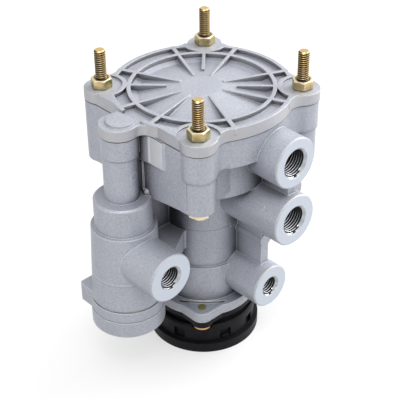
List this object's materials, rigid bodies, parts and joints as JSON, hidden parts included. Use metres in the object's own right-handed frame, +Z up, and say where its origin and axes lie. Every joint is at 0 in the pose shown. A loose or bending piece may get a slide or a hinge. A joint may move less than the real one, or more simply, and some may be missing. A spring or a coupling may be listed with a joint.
{
  "type": "trailer control valve",
  "caption": "Air brake control valve for trailers: cast body with threaded ports, ribbed cover, side cylinder and exhaust silencer.",
  "frame": {"origin": "middle of the four studs, on the plane of the nut tops", "axes": "+Z up along the studs, out of the mounting plane; the column of three ports faces -Y; the side cylinder is on -X"},
  "size_m": [0.1749, 0.1448, 0.2308],
  "materials": {
    "cast_aluminium": "bead-blasted casting",
    "yellow_zinc": "yellow zinc plating",
    "black_plastic": "satin moulded",
    "rubber": "matte",
    "piston_alloy": "machined",
    "spring_steel": "drawn wire",
    "guide_plastic": "moulded"
  },
  "bodies": {
    "casing": {"valve_body": "cast_aluminium", "top_cover": "cast_aluminium", "cover_seal": "rubber", "tube_seal": "rubber", "clamp_bolts": "yellow_zinc", "clamp_nuts": "yellow_zinc", "silencer_screws": "yellow_zinc", "exhaust_silencer": "black_plastic", "silencer_guard": "black_plastic", "exhaust_flap": "rubber", "valve_guide": "guide_plastic", "guide_circlip": "spring_steel", "guide_seal_upper": "rubber", "guide_seal_lower": "rubber", "sleeve_seal": "rubber", "side_end_cap": "cast_aluminium", "side_cap_seal": "rubber", "piston_spring": "spring_steel", "valve_spring": "spring_steel", "side_spring": "spring_steel"},
    "upper_piston": {"upper_piston": "piston_alloy", "upper_piston_ring": "rubber"},
    "relay_piston": {"relay_piston": "piston_alloy", "relay_piston_ring": "rubber"},
    "inlet_valve": {"inlet_valve": "rubber", "valve_sleeve": "piston_alloy"},
    "side_piston": {"side_piston": "piston_alloy", "side_piston_ring": "rubber", "side_land_ring": "rubber"}
  },
  "joints": [
    {"name": "upper_piston_slide", "type": "slide", "parent": "casing", "child": "upper_piston", "axis": [0, 0, 1], "range_m": [-0.0034, 0], "stiffness_N_per_m": 2500, "springref_m": 0.006, "deforming": ["piston_spring"]},
    {"name": "relay_piston_slide", "type": "slide", "parent": "casing", "child": "relay_piston", "axis": [0, 0, 1], "range_m": [-0.0034, 0]},
    {"name": "inlet_valve_slide", "type": "slide", "parent": "casing", "child": "inlet_valve", "axis": [0, 0, 1], "range_m": [-0.0017, 0], "stiffness_N_per_m": 1500, "springref_m": 0.004, "deforming": ["valve_spring"]},
    {"name": "side_piston_slide", "type": "slide", "parent": "casing", "child": "side_piston", "axis": [0, 0, 1], "range_m": [-0.005, 0], "stiffness_N_per_m": 1500, "springref_m": 0.006, "deforming": ["side_spring"]}
  ],
  "couplings": [
    {"joint": "relay_piston_slide", "follows": "upper_piston_slide", "ratio": 1},
    {"joint": "inlet_valve_slide", "follows": "upper_piston_slide", "ratio": 0.5}
  ]
}
